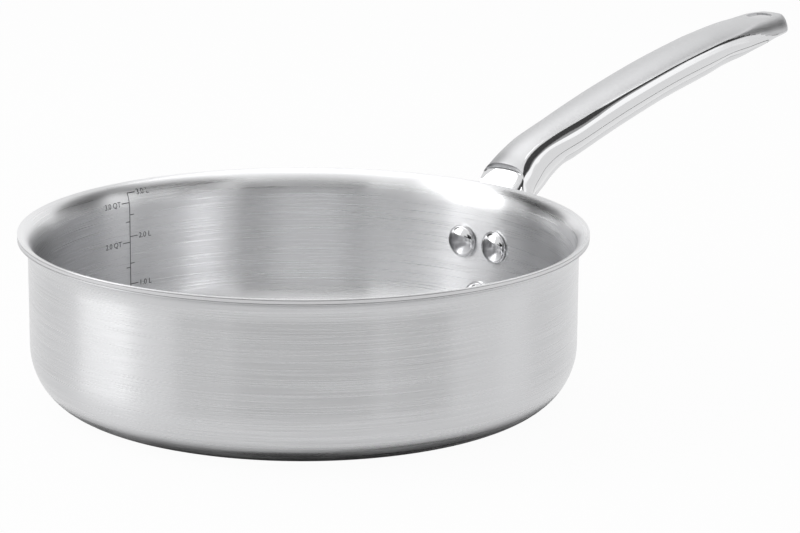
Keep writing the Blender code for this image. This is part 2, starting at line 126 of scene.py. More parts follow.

# %% [markdown]
# ## The studio
# Polished steel has hardly any colour of its own: it shows what stands round
# it. A white world gives it a pale tone, a soft window at each side and a light
# from above give it highlights, and dark cards give it the grey bands that make
# it look like metal. The cards are seen only in reflections. The floor is white
# and keeps a soft shadow. A dark disc lies on it, hidden under the pan: a painted
# contact shadow, seen only in reflections, which the rounded corner of the pan
# mirrors.

# %% World
WORLD_LIGHT = 0.42      # strength of the world's light on matt surfaces
WHITE = (1.0, 1.0, 1.0, 1.0)


def background_rays(nodes, links):
    """1 where a ray from the eye, a gloss or a clear surface looks, else 0."""
    path = nodes.new("ShaderNodeLightPath")
    first = nodes.new("ShaderNodeMath")
    first.operation = "MAXIMUM"
    second = nodes.new("ShaderNodeMath")
    second.operation = "MAXIMUM"
    links.new(path.outputs["Is Camera Ray"], first.inputs[0])
    links.new(path.outputs["Is Glossy Ray"], first.inputs[1])
    links.new(first.outputs[0], second.inputs[0])
    links.new(path.outputs["Is Transmission Ray"], second.inputs[1])
    return second.outputs[0]


world = bpy.data.worlds.new("studio")
world.use_nodes = True
bpy.context.scene.world = world
nodes, links = world.node_tree.nodes, world.node_tree.links
nodes.clear()
seen = nodes.new("ShaderNodeBackground")
seen.inputs["Color"].default_value = WHITE
seen.inputs["Strength"].default_value = 1.0
lit = nodes.new("ShaderNodeBackground")
lit.inputs["Color"].default_value = WHITE
lit.inputs["Strength"].default_value = WORLD_LIGHT
blend = nodes.new("ShaderNodeMixShader")
out = nodes.new("ShaderNodeOutputWorld")
links.new(background_rays(nodes, links), blend.inputs[0])
links.new(lit.outputs[0], blend.inputs[1])
links.new(seen.outputs[0], blend.inputs[2])
links.new(blend.outputs[0], out.inputs["Surface"])
print("world made, light", WORLD_LIGHT)

# %% Floor
FLOOR_SIZE = 9.0
FLOOR_WHITE = 0.96      # how much of the floor's tone is plain white
FLOOR_GAP = 0.0002      # between the pan's base and the floor
PAPER_TONE = 0.9
PAPER_ROUGHNESS = 0.9

bpy.ops.mesh.primitive_plane_add(size=FLOOR_SIZE, location=(0.0, 0.0, -FLOOR_GAP))
floor = bpy.context.object
floor.name = "floor"
paper = bpy.data.materials.new("white_paper")
paper.use_nodes = True
nodes, links = paper.node_tree.nodes, paper.node_tree.links
matt = nodes["Principled BSDF"]
matt.inputs["Base Color"].default_value = (PAPER_TONE, PAPER_TONE, PAPER_TONE, 1.0)
matt.inputs["Roughness"].default_value = PAPER_ROUGHNESS
glow = nodes.new("ShaderNodeEmission")
glow.inputs["Color"].default_value = WHITE
share = nodes.new("ShaderNodeMath")
share.operation = "MULTIPLY"
share.inputs[1].default_value = FLOOR_WHITE
blend = nodes.new("ShaderNodeMixShader")
links.new(background_rays(nodes, links), share.inputs[0])
links.new(share.outputs[0], blend.inputs[0])
links.new(matt.outputs[0], blend.inputs[1])
links.new(glow.outputs[0], blend.inputs[2])
links.new(blend.outputs[0], nodes["Material Output"].inputs["Surface"])
floor.data.materials.append(paper)
print("floor made,", FLOOR_SIZE, "m wide")

# %% Lamps
# name, angle, distance, height, width and height of the lamp, power in watts
LAMPS = [
    ("left_window", -86, 1.5, 0.80, 0.9, 1.5, 12.0),
    ("right_window", 92, 1.5, 0.50, 0.5, 1.0, 0.6),
    ("top_light", 180, 0.5, 1.7, 1.4, 1.4, 6.0),
]

for name, angle, distance, height, width, tall, power in LAMPS:
    place = around(angle, distance, height)
    bpy.ops.object.light_add(type="AREA", location=place, rotation=facing_pan(place))
    lamp = bpy.context.object
    lamp.name = name
    lamp.data.shape = "RECTANGLE"
    lamp.data.size = width
    lamp.data.size_y = tall
    lamp.data.energy = power
print(len(LAMPS), "lamps")

# %% Dark cards
# name, angle, distance, height, width and height of the card, tone
CARDS = [
    ("card_behind_camera", 0, 2.0, 0.62, 2.30, 1.25, 0.03),
    ("card_near_left", -41, 2.0, 0.25, 0.75, 0.50, 0.03),
    ("card_near_right", 45, 2.0, 0.25, 1.00, 0.50, 0.03),
    ("card_far_left", -134, 1.6, 0.85, 1.1, 1.3, 0.03),
    ("card_far_right", 122, 1.6, 1.05, 1.15, 1.5, 0.06),
    ("card_high_right", 70, 1.6, 1.45, 1.90, 1.25, 0.07),
]


def only_mirrored(card):
    """Let a card be seen in reflections and nowhere else."""
    card.visible_camera = False
    card.visible_diffuse = False
    card.visible_shadow = False


for name, angle, distance, height, width, tall, tone in CARDS:
    place = around(angle, distance, height)
    bpy.ops.mesh.primitive_plane_add(size=1.0, location=place,
                                     rotation=facing_pan(place))
    card = bpy.context.object
    card.name = name
    card.scale = (width, tall, 1.0)
    only_mirrored(card)
    cloth = bpy.data.materials.new(name)
    cloth.use_nodes = True
    shader = cloth.node_tree.nodes["Principled BSDF"]
    shader.inputs["Base Color"].default_value = (0.0, 0.0, 0.0, 1.0)
    shader.inputs["Specular IOR Level"].default_value = 0.0
    shader.inputs["Emission Color"].default_value = (tone, tone, tone, 1.0)
    shader.inputs["Emission Strength"].default_value = 1.0
    card.data.materials.append(cloth)
print(len(CARDS), "cards")

# %% Shade under the pan
SHADE_RADIUS = 0.1345
SHADE_PLACE = (0.0010, -0.0011, -FLOOR_GAP / 2)     # 1.5 mm to the camera's right
SHADE_SIDES = 96

# a dark disc seen only in reflections: painted contact shadow on the floor under the pan
deselect()
bpy.ops.mesh.primitive_circle_add(vertices=SHADE_SIDES, radius=SHADE_RADIUS,
                                  fill_type="NGON", location=SHADE_PLACE)
shade = bpy.context.object
shade.name = "painted_shadow_under_pan"
only_mirrored(shade)
shade.data.materials.append(bpy.data.materials["card_behind_camera"])
print("shade of", SHADE_RADIUS, "m")

# %% [markdown]
# ## The pan's sheet
# A press draws the flat disc to a pan, and a roller turns the lip out. Every
# level section is a circle, so each layer is one outline spun round the upright
# axis. The outline follows the skin at a depth: flat base, rounded corner,
# straight wall, flared lip. Quarter ellipses make the corner and the flare.

# %% Outline of the sheet
WALL_RADIUS = 0.140
PAN_HEIGHT = 0.087
SHEET = 0.0030          # thickness
CORNER_ACROSS = 0.0255  # half axes of the corner's quarter ellipse
CORNER_UP = 0.0295
LIP_REACH = 0.0052      # half axes of the flare's quarter ellipse
FLARE_UP = 0.011
CORNER_STEPS = 18
FLARE_STEPS = 10
ROUND_STEPS = 192

LIP_RADIUS = WALL_RADIUS + LIP_REACH
FLARE_START = PAN_HEIGHT - SHEET - FLARE_UP


def moved_in(point, way, depth):
    """A point of an outline, moved by a depth against the way out of the sheet."""
    length = math.hypot(*way)
    return (point[0] - depth * way[0] / length, point[1] - depth * way[1] / length)


def skin(depth):
    """Points of the skin at a depth in the sheet, from the axis to the lip."""
    points = [(0.0, depth)]
    for step in range(CORNER_STEPS + 1):
        angle = math.pi / 2 * step / CORNER_STEPS
        across, down = math.sin(angle), math.cos(angle)
        point = (WALL_RADIUS - CORNER_ACROSS * (1 - across), CORNER_UP * (1 - down))
        way = (across / CORNER_ACROSS, -down / CORNER_UP)
        points.append(moved_in(point, way, depth))
    for step in range(FLARE_STEPS + 1):
        angle = math.pi / 2 * step / FLARE_STEPS
        up, out = math.sin(angle), math.cos(angle)
        point = (LIP_RADIUS - LIP_REACH * out, FLARE_START + FLARE_UP * up)
        points.append(moved_in(point, (out / LIP_REACH, -up / FLARE_UP), depth))
    return points


def skin_radius(depth, height):
    """Radius of the skin at a depth, at a height from its corner to its lip."""
    points = skin(depth)[1:]
    for low, high in zip(points, points[1:]):
        if low[1] <= height <= high[1]:
            share = (height - low[1]) / (high[1] - low[1])
            return low[0] + share * (high[0] - low[0])
    return points[-1][0]


print("outline of", len(skin(0.0)), "points")

# %% Spin an outline
SPIN_WELD = 0.000002    # corners closer than this become one


def spin(name, profile, steps):
    """Turn a closed profile of (radius, height) points into a ring or a round solid."""
    deselect()
    bpy.ops.mesh.primitive_circle_add(vertices=len(profile), radius=1.0)
    piece = bpy.context.object
    piece.name = name
    for vertex, (radius, height) in zip(piece.data.vertices, profile):
        vertex.co = (radius, 0.0, height)
    open_mesh()
    bpy.ops.mesh.spin(steps=steps, angle=2 * math.pi,
                      center=(0, 0, 0), axis=(0, 0, 1))
    bpy.ops.mesh.select_all(action="SELECT")
    bpy.ops.mesh.remove_doubles(threshold=SPIN_WELD)
    bpy.ops.mesh.delete_loose()
    close_mesh()
    return piece


print("spinning welds corners within", SPIN_WELD, "m")

# %% Three layers
# name, node that it stands for, depths of its near and far skin
LAYERS = [
    ("pan_outside_skin", "pan_outer_ply", 0.0, 0.0005),
    ("pan_middle_layer", "pan_core", 0.0007, 0.0023),
    ("pan_inside_skin", "pan_inner_ply", 0.0025, 0.0030),
]

layers = {}
for name, node, near, far in LAYERS:
    layers[name] = spin(name, skin(far) + skin(near)[::-1], ROUND_STEPS)
    print(name, len(layers[name].data.polygons), "faces")

# %% [markdown]
# ## Rivets
# A rivet is a turned pin: a low domed head inside the pan, a shank through the
# wall and the handle's flange, and a hammered tail outside. All three lie square
# to the skin where they sit, so the lower one leans with the rounded corner. One
# outline is spun upright and then carried to each place.

# %% Where the rivets sit
RIVET_SPACING = 0.0234
HEAD_RADIUS = 0.00875
HEAD_EDGE = 0.0010
HEAD_RIM = 0.0004       # flat ring between the head's edge and its dome
HEAD_RISE = 0.0032
SHANK_RADIUS = 0.0030
TAIL_RADIUS = 0.0050
TAIL_RISE = 0.0018
FLANGE_THICKNESS = 0.0035
SEAT_GAP = 0.0003
HEAD_PROBES = 32        # places at the head's edge where its seat is tried
# name, node, height, side of the handle
RIVETS = [
    ("left_rivet", "rivet_left", 0.0547, 1),
    ("right_rivet", "rivet_right", 0.0547, -1),
    ("low_rivet", "rivet_lower", 0.0242, 0),
]


def rivet_place(height, side):
    """Where a rivet starts on the inner skin, with its own Z running outwards."""
    low = skin_radius(SHEET, height - HEAD_RADIUS)
    high = skin_radius(SHEET, height + HEAD_RADIUS)
    lean = math.pi / 2 + math.atan2(high - low, 2 * HEAD_RADIUS)
    turn = math.asin(side * RIVET_SPACING / 2 / WALL_RADIUS)
    start = Matrix.Translation((skin_radius(SHEET, height), 0.0, height))
    return Matrix.Rotation(turn, 4, "Z") @ start @ Matrix.Rotation(lean, 4, "Y")


def head_seat(place):
    """How far the head's flat side stands off the curved skin at its edge."""
    off = 0.0
    for step in range(HEAD_PROBES):
        angle = 2 * math.pi * step / HEAD_PROBES
        edge = place @ Vector((HEAD_RADIUS * math.cos(angle),
                               HEAD_RADIUS * math.sin(angle), 0.0))
        off = max(off, math.hypot(edge.x, edge.y) - skin_radius(SHEET, edge.z))
    return off + SEAT_GAP


def put(piece, place):
    """Carry a piece to its place and leave the place in its mesh."""
    deselect()
    piece.matrix_world = place
    piece.select_set(True)
    bpy.context.view_layer.objects.active = piece
    bpy.ops.object.transform_apply(location=True, rotation=True, scale=True)


print(len(RIVETS), "rivets", RIVET_SPACING * 1000, "mm apart")

# %% Spin the rivets
TAIL_STEPS = 8
HEAD_STEPS = 12
RIVET_ROUND_STEPS = 64


def quarter(radius, rise, steps):
    """Half a dome's outline as (radius, height) points, from its top to its edge."""
    angles = [math.pi / 2 * step / steps for step in range(steps + 1)]
    return [(radius * math.sin(angle), rise * math.cos(angle)) for angle in angles]


tail_dome = quarter(TAIL_RADIUS, TAIL_RISE, TAIL_STEPS)
head_dome = quarter(HEAD_RADIUS - HEAD_RIM, HEAD_RISE, HEAD_STEPS)
rivets = {}
for name, node, height, side in RIVETS:
    place = rivet_place(height, side)
    seat = head_seat(place)
    grip = SHEET + FLANGE_THICKNESS + 2 * SEAT_GAP + seat
    tail = [(radius, grip + up) for radius, up in tail_dome]
    shank = [(SHANK_RADIUS, grip), (SHANK_RADIUS, 0.0),
             (HEAD_RADIUS, 0.0), (HEAD_RADIUS, -HEAD_EDGE)]
    head = [(radius, -HEAD_EDGE - up) for radius, up in head_dome]
    rivets[name] = spin(name, tail + shank + head[::-1], RIVET_ROUND_STEPS)
    put(rivets[name], place @ Matrix.Translation((0.0, 0.0, -seat)))
    print(name, "stands off the skin by", round(seat * 1000, 2), "mm")

# %% [markdown]
# ## Cutting
# Holes and fitted edges are cut the way a drill or a mill would: a tool shape is
# set in place and taken away from the piece, and the tool is deleted.

# %% Cut
def cut(piece, tools, how="DIFFERENCE"):
    """Take tool shapes away from a piece, or keep only what they share with it."""
    for tool in tools:
        deselect()
        bpy.context.view_layer.objects.active = piece
        piece.select_set(True)
        modifier = piece.modifiers.new("cut", "BOOLEAN")
        modifier.operation = how
        modifier.object = tool
        modifier.solver = "EXACT"
        bpy.ops.object.modifier_apply(modifier="cut")


def scrap(tools):
    """Delete the tools once the cuts are made."""
    deselect()
    for tool in tools:
        tool.select_set(True)
    bpy.ops.object.delete()


print("cutting ready")

# %% Drill the layers
DRILL_GAP = 0.0003      # between a shank and its hole
DRILL_LENGTH = 0.05
DRILL_SIDES = 48

drills = []
for name, node, height, side in RIVETS:
    deselect()
    bpy.ops.mesh.primitive_cylinder_add(
        vertices=DRILL_SIDES, radius=SHANK_RADIUS + DRILL_GAP, depth=DRILL_LENGTH)
    drills.append(bpy.context.object)
    put(drills[-1], rivet_place(height, side))
for layer in layers.values():
    cut(layer, drills)
print("drilled", len(layers), "layers for", len(drills), "rivets")

# %% [markdown]
# ## The handle
# The handle grows out of a flange on the wall, bends out under the lip, and runs
# up and away as a hollow grip that ends in a flat tab with a hanging hole. It is
# described by sections: level ones up the flange, leaning ones round the neck,
# upright ones along the grip. Each section has a satin top with a small crown, a
# rounded shoulder, a polished bevel and a flank that narrows to the underside. A
# grid is rolled through the sections, so one smooth skin covers the whole run.
# Towards the tab the bevel fades out, and the satin spreads over the rounded
# edge in its place.

# %% Sections of the handle
# In millimetres: the top's x and z, the underside's x and z, half width, half
# width of the underside, crown, crown of the underside, shoulder, bevel, and
# the rounding between the flank and the underside
FLANGE = [
    (128.2, 13.9, 139.7, 13.9, 2.1, 2.1, 0.0, 0.0, 1.0, 0.0, 1.0),
    (129.0, 15.8, 140.5, 15.8, 6.3, 6.3, 0.0, 0.1, 1.0, 0.0, 1.0),
    (130.6, 19.5, 142.1, 19.5, 9.4, 9.4, 0.0, 0.3, 1.0, 0.0, 1.0),
    (131.6, 24.2, 143.1, 24.2, 10.5, 10.5, 0.0, 0.4, 1.0, 0.0, 1.0),
    (132.3, 34.9, 143.8, 34.9, 16.6, 16.6, 0.0, 1.0, 1.0, 0.0, 1.0),
    (132.3, 45.6, 143.8, 45.6, 20.9, 20.9, 0.0, 1.5, 1.0, 0.0, 1.0),
    (132.3, 54.7, 143.8, 54.7, 22.2, 22.2, 0.0, 1.7, 1.0, 0.0, 1.0),
    (132.3, 60.0, 143.8, 60.0, 20.6, 20.6, 0.0, 1.5, 1.0, 0.0, 1.0),
]
NECK_ROOT = [
    (135.7, 68.0, 148.7, 64.0, 19.5, 14.0, 0.3, 1.0, 1.0, 0.4, 3.5),
    (142.2, 72.5, 155.7, 66.7, 18.2, 11.5, 0.5, 1.0, 1.0, 0.6, 3.5),
]
NECK_ARCH = [
    (149.2, 77.5, 164.2, 70.0, 17.2, 10.5, 0.8, 1.0, 1.0, 0.3, 3.5),
    (152.7, 84.5, 173.2, 74.3, 16.0, 9.2, 1.2, 1.0, 1.0, 0.3, 3.5),
    (153.7, 91.0, 179.2, 77.3, 14.0, 8.4, 1.8, 1.0, 1.0, 0.8, 3.5),
    (156.6, 96.8, 184.7, 80.1, 11.7, 7.6, 2.6, 1.0, 1.0, 2.6, 3.5),
]
NECK_RISE = [
    (163.2, 102.5, 191.2, 84.2, 10.0, 6.9, 2.8, 1.0, 1.0, 3.2, 3.5),
    (177.2, 109.0, 199.7, 88.8, 10.0, 7.0, 3.0, 1.0, 1.0, 3.2, 3.5),
]
GRIP = [
    (210.0, 118.8, 210.0, 92.0, 11.4, 7.8, 3.4, 1.0, 1.0, 3.0, 3.5),
    (229.9, 124.3, 229.9, 98.4, 12.5, 8.5, 3.7, 1.0, 1.0, 2.0, 3.5),
    (249.8, 129.6, 249.8, 104.5, 13.3, 9.1, 4.0, 1.0, 0.9, 1.4, 3.5),
    (289.7, 139.1, 289.7, 115.2, 14.5, 9.8, 4.4, 1.0, 0.9, 0.8, 3.5),
    (327.9, 146.4, 327.9, 123.4, 15.3, 10.4, 4.5, 1.0, 1.2, 0.6, 3.5),
    (344.5, 148.4, 344.5, 127.5, 15.8, 10.7, 4.2, 1.0, 1.8, 0.5, 3.5),
    (357.7, 149.5, 357.7, 131.4, 16.3, 13.2, 3.7, 0.6, 2.7, 0.4, 2.3),
    (367.7, 150.0, 367.7, 135.1, 16.6, 15.2, 2.9, 0.3, 4.0, 0.3, 1.3),
    (375.5, 150.4, 375.5, 137.8, 16.9, 16.3, 2.2, 0.0, 5.4, 0.2, 0.6),
]
TAB = [
    (384.4, 151.0, 384.4, 140.3, 17.2, 16.9, 1.6, 0.0, 7.0, 0.1, 0.5),
    (389.7, 151.3, 389.7, 141.4, 17.3, 17.3, 1.3, 0.0, 7.5, 0.0, 0.5),
    (394.2, 151.5, 394.2, 141.9, 16.7, 16.7, 1.1, 0.0, 7.5, 0.0, 0.5),
    (398.5, 151.5, 398.5, 142.1, 14.9, 14.9, 0.9, 0.0, 7.5, 0.0, 0.5),
    (402.5, 151.6, 402.5, 142.1, 11.6, 11.6, 0.7, 0.0, 7.4, 0.0, 0.5),
    (404.2, 151.2, 404.2, 142.1, 9.4, 9.4, 0.6, 0.0, 6.8, 0.0, 0.5),
    (405.6, 150.2, 405.6, 142.2, 6.8, 6.8, 0.4, 0.0, 5.6, 0.0, 0.5),
    (406.6, 148.7, 406.6, 142.2, 4.3, 4.3, 0.3, 0.0, 3.8, 0.0, 0.5),
    (407.0, 146.6, 407.0, 142.2, 4.3, 4.3, 0.2, 0.0, 0.5, 0.0, 0.5),
]
neck_and_grip = NECK_ARCH + NECK_RISE + GRIP
sections = FLANGE + NECK_ROOT + neck_and_grip + TAB
print(len(sections), "sections")

# %% Smooth run between sections
SECTION_STEP = 2.0      # most that two neighbouring rows stand apart, in mm


def apart(near, far):
    """Distance between two rows, by where they are and how wide."""
    return math.dist(near[:5], far[:5])


def smooth_run(rows):
    """Rows that pass through the given ones on a smooth curve, close together."""
    places = [0.0]
    for near, far in zip(rows, rows[1:]):
        places.append(places[-1] + apart(near, far))
    slopes = []
    for index in range(len(rows)):
        before, after = max(index - 1, 0), min(index + 1, len(rows) - 1)
        length = places[after] - places[before]
        slopes.append([(b - a) / length for a, b in zip(rows[before], rows[after])])
    run = []
    for index in range(len(rows) - 1):
        width = places[index + 1] - places[index]
        steps = max(1, math.ceil(width / SECTION_STEP))
        for step in range(steps):
            t = step / steps
            weights = ((1 + 2 * t) * (1 - t) ** 2, t * (1 - t) ** 2 * width,
                       t * t * (3 - 2 * t), t * t * (t - 1) * width)
            parts = zip(rows[index], slopes[index], rows[index + 1], slopes[index + 1])
            run.append([sum(w * value for w, value in zip(weights, part))
                        for part in parts])
    return run + [list(rows[-1])]


print("grip of", len(smooth_run(GRIP)), "rows")

# %% One section's outline
TOP_POINTS = 8          # corners of half an outline, along each of its parts
EDGE_POINTS = 10
FLANK_POINTS = 11
FOOT_POINTS = 4
EDGE_LINEAR = 0.8       # width of the rounded edge for 1 of the shoulder
EDGE_SQUARE = 0.16      # and for 1 of its square
EDGE_MOST = 0.55        # most of the half width that the edge takes
ROUND_POWER = 2.0       # an edge without a bevel is a quarter ellipse
BEVEL_FLATTENS = 0.75   # how much a full bevel takes from that power
FULL_BEVEL = 2.5
BEVEL_WIDTH = 0.8       # width of the bevel for 1 of its height
FLANK_BULGE = 0.9
BULGING_BEVEL = 0.4     # bevel from which the flank bulges in full
FOOT_ROUNDING = 0.6     # most of the underside's half width that its corner takes


def half_outline(row, depth):
    """Half a section as (sideways, down) points, from the top to the underside."""
    half, foot, crown, under_crown, shoulder, bevel, rounding = row[4:]
    # the crowned top, up to where its edge begins
    edge = min(EDGE_LINEAR * shoulder + EDGE_SQUARE * shoulder ** 2, EDGE_MOST * half)
    flat, ledge = half - edge, half + BEVEL_WIDTH * bevel
    flat_drop = crown * (flat / half) ** 2
    points = []
    for n in range(TOP_POINTS + 1):
        side = flat * n / TOP_POINTS
        points.append((side, crown * (side / half) ** 2))
    # the rounded edge, which a bevel flattens
    brow = crown + shoulder + bevel
    power = 2 / (ROUND_POWER - BEVEL_FLATTENS * min(1.0, bevel / FULL_BEVEL))
    for n in range(1, EDGE_POINTS + 1):
        angle = math.pi / 2 * n / EDGE_POINTS
        across = math.sin(angle) ** power
        down = 1 - max(0.0, math.cos(angle)) ** power
        points.append((flat + (ledge - flat) * across,
                       flat_drop + (brow - flat_drop) * down))
    # the flank
    bottom = depth - under_crown - rounding
    bulge = FLANK_BULGE * min(1.0, bevel / BULGING_BEVEL)
    for n in range(1, FLANK_POINTS + 1):
        share = n / FLANK_POINTS
        swelling = bulge * 4 * share * (1 - share)
        points.append((ledge + (foot - ledge) * share ** 2 + swelling,
                       brow + (bottom - brow) * share))
    # the corner to the underside, and the underside
    corner = min(rounding, FOOT_ROUNDING * foot)
    flat_foot = foot - corner
    low = depth - under_crown * (flat_foot / foot) ** 2
    for n in range(1, FOOT_POINTS + 1):
        angle = math.pi / 2 * n / FOOT_POINTS
        points.append((flat_foot + corner * math.cos(angle),
                       bottom + (low - bottom) * math.sin(angle)))
    for n in reversed(range(FOOT_POINTS)):
        side = flat_foot * n / FOOT_POINTS
        points.append((side, depth - under_crown * (side / foot) ** 2))
    return points


def outline(row, inset=0.0):
    """Closed outline of a section in space, in metres, or of one inside it."""
    top_x, top_z, under_x, under_z = row[:4]
    depth = math.hypot(under_x - top_x, under_z - top_z)
    down_x, down_z = (under_x - top_x) / depth, (under_z - top_z) / depth
    if inset:
        row = list(row[:4]) + [row[4] - inset, row[5] - inset] + list(row[6:])
        top_x, top_z = top_x + inset * down_x, top_z + inset * down_z
        depth -= 2 * inset
    half = half_outline(row, depth)
    ring = half + [(-side, down) for side, down in half[-2:0:-1]]
    return [((top_x + down * down_x) / 1000, side / 1000, (top_z + down * down_z) / 1000)
            for side, down in ring]


print("outline of", len(outline(GRIP[0])), "points")

# %% Roll a grid through outlines
SATIN_FACES = 9         # faces of the satin top on each side of its middle
SATIN_FACES_TAB = TOP_POINTS + EDGE_POINTS      # the same at the tab
SATIN_GROWS = (0.335, 0.378)    # x where the satin starts to spread, and ends
GRID_WELD = 0.000001    # corners closer than this become one


def satin_reach(x):
    """How many faces from the middle of the top are satin, at a place along it."""
    along = (x - SATIN_GROWS[0]) / (SATIN_GROWS[1] - SATIN_GROWS[0])
    return SATIN_FACES + (SATIN_FACES_TAB - SATIN_FACES) * min(max(along, 0.0), 1.0)


def roll(name, outlines, satin_top=False):
    """Skin a row of outlines with one grid, close it round and cap both ends.

    A satin top has the second material slot.
    """
    around_count = len(outlines[0])
    deselect()
    bpy.ops.mesh.primitive_grid_add(x_subdivisions=around_count,
                                    y_subdivisions=len(outlines) - 1)
    piece = bpy.context.object
    piece.name = name
    for index, vertex in enumerate(piece.data.vertices):
        row, column = divmod(index, around_count + 1)
        vertex.co = outlines[row][column % around_count]
    piece.data.materials.append(None)
    piece.data.materials.append(None)
    for face in piece.data.polygons:
        column = min(vertex % (around_count + 1) for vertex in face.vertices)
        from_middle = min(column, around_count - 1 - column)
        face.material_index = int(satin_top and from_middle < satin_reach(face.center.x))
    open_mesh()
    bpy.ops.mesh.remove_doubles(threshold=GRID_WELD)
    bpy.ops.mesh.select_all(action="DESELECT")
    bpy.ops.mesh.select_mode(type="EDGE")
    bpy.ops.mesh.select_non_manifold()
    bpy.ops.mesh.edge_face_add()
    bpy.ops.mesh.select_mode(type="VERT")
    close_mesh()
    return piece


whole_skin = [outline(row) for row in smooth_run(sections)]
shells = {name: roll(name, whole_skin, satin_top=True)
          for name in ("handle_top", "handle_underside")}
print("handle skin of", len(whole_skin), "outlines,",
      len(shells["handle_top"].data.polygons), "faces")

# %% [markdown]
# The real shells are pressed from sheet and are hollow. Here they start as solid
# skins, and tools take away what isn't there: the inside of the grip, the open
# underside of the tab, the hanging hole, the pan's wall behind the flange, and
# the scooped hollow in the neck.

# %% Hollow of the grip and of the tab
SHELL_WALL = 2.0        # in millimetres, as the sections are
TAB_WALL = 1.2
TAB_START = 0.376       # x where the grip's lower shell ends
TAB_REACH = 17.3        # from the hole's middle to the tab's end, in millimetres
TRAY_SETBACK = 2.0      # the tab's hollow starts so much after the lower shell
TRAY_DEPTH = 12.0       # it reaches so far below the tab, to be open there
HOLE_X = 0.3897

hollow_rows = smooth_run(NECK_RISE + GRIP[:-1])
grip_hollow = roll("grip_hollow", [outline(row, SHELL_WALL) for row in hollow_rows])
tab_rows = [row for row in smooth_run(GRIP[-1:] + TAB)
            if row[0] > 1000 * TAB_START + TRAY_SETBACK]


def tray(row):
    """Space under the tab at a section: inside its edge, and open below."""
    inner = list(row)
    past = row[0] - 1000 * HOLE_X
    if past > 0:
        inner[0] = inner[2] = 1000 * HOLE_X + past * (TAB_REACH - TAB_WALL) / TAB_REACH
    inner[3] = row[3] - TRAY_DEPTH
    return outline(inner, TAB_WALL)


tab_hollow = roll("tab_hollow", [tray(row) for row in tab_rows])
print("hollows of", len(hollow_rows), "and", len(tab_rows), "rows")

# %% Wall, scoop and hole
HOLE_RADIUS = 0.0074
HOLE_HEIGHT = 0.150
HOLE_DRILL_LENGTH = 0.06
SCOOP_PLACE = Vector((0.1428, 0.0, 0.0830))
SCOOP_SIZE = Vector((0.0112, 0.0222, 0.0138))
SCOOP_LEAN = 0.64       # how far its back wall moves out for each step up
SCOOP_BACK_POWER = 3    # powers above 2 make the round scoop squarer
SCOOP_ARCH_POWER = 2.4
TOOL_SIDES = 96

# the pan's corner and straight wall, from the top down, a gap further out
wall_line = [(radius + SEAT_GAP, height)
             for radius, height in skin(0.0)[CORNER_STEPS + 1:0:-1]]
wall_top = [(0.0, PAN_HEIGHT), (WALL_RADIUS + SEAT_GAP, PAN_HEIGHT)]
wall_fit = spin("wall_fit", wall_top + wall_line + [(0.0, 0.0)], ROUND_STEPS)
deselect()
bpy.ops.mesh.primitive_uv_sphere_add(segments=TOOL_SIDES, ring_count=TOOL_SIDES // 2,
                                     radius=1.0)
scoop = bpy.context.object
for vertex in scoop.data.vertices:
    back, side, up = (abs(value) for value in vertex.co)
    arch = side ** SCOOP_ARCH_POWER + up ** SCOOP_ARCH_POWER
    swell = (back ** SCOOP_BACK_POWER
             + arch ** (SCOOP_BACK_POWER / SCOOP_ARCH_POWER)) ** (-1 / SCOOP_BACK_POWER)
    vertex.co = SCOOP_PLACE + swell * vertex.co * SCOOP_SIZE
    vertex.co.x += SCOOP_LEAN * (vertex.co.z - SCOOP_PLACE.z)
deselect()
bpy.ops.mesh.primitive_cylinder_add(vertices=TOOL_SIDES, radius=HOLE_RADIUS,
                                    depth=HOLE_DRILL_LENGTH,
                                    location=(HOLE_X, 0.0, HOLE_HEIGHT))
hole_drill = bpy.context.object
print("scoop", round(2000 * SCOOP_SIZE.y, 1), "mm wide, hole",
      round(2000 * HOLE_RADIUS, 1), "mm")

# %% [markdown]
# The two shells meet along a line that runs along the middle of the flank, and on
# a level ledge above the flange. A block with that line as its edge keeps the
# upper shell, and another keeps the lower one. The line's points lie between
# the sections, so that a block's corners never fall on the skin's own edges.

# %% Line of the seam
SEAM_GAP = 0.0003       # between the shells
SEAM_SHARE = 0.55       # how far down the flank the shells meet
SEAM_LEDGE = 0.8        # drop from the shoulder to the flank's start, in mm


def seam_line(rows, offset):
    """Side view of the line where the shells meet, moved down by an offset."""
    line = []
    for row in rows:
        top_x, top_z, under_x, under_z = [value / 1000 for value in row[:4]]
        depth = math.hypot(under_x - top_x, under_z - top_z)
        crown, under_crown, shoulder, rounding = row[6], row[7], row[8], row[10]
        top = (crown + shoulder + SEAM_LEDGE) / 1000
        bottom = depth - (under_crown + rounding) / 1000
        down = top + SEAM_SHARE * (bottom - top) + offset
        line.append((top_x + down * (under_x - top_x) / depth,
                     top_z + down * (under_z - top_z) / depth))
    return [((a[0] + b[0]) / 2, (a[1] + b[1]) / 2) for a, b in zip(line, line[1:])]


seam_rows = smooth_run(neck_and_grip)
upper_line = seam_line(seam_rows, -SEAM_GAP / 2)
lower_line = seam_line(seam_rows, SEAM_GAP / 2)
print("seam of", len(upper_line), "points")

# %% Blocks above and below the seam
LEDGE_HEIGHT = 0.0752   # where the shells meet above the flange
INSIDE_WALL = WALL_RADIUS - SHEET
BLOCK_TOP, BLOCK_BOTTOM, BLOCK_END = 0.25, -0.05, 0.8   # well outside the handle
BLOCK_HALF_WIDTH = 0.05


def side_block(name, corners):
    """Block with an outline in side view."""
    deselect()
    bpy.ops.mesh.primitive_circle_add(vertices=len(corners), radius=1.0)
    block = bpy.context.object
    block.name = name
    for vertex, (x, z) in zip(block.data.vertices, corners):
        vertex.co = (x, -BLOCK_HALF_WIDTH, z)
    open_mesh()
    bpy.ops.mesh.edge_face_add()
    bpy.ops.mesh.extrude_region_move(
        TRANSFORM_OT_translate={"value": (0.0, 2 * BLOCK_HALF_WIDTH, 0.0)})
    close_mesh()
    return block


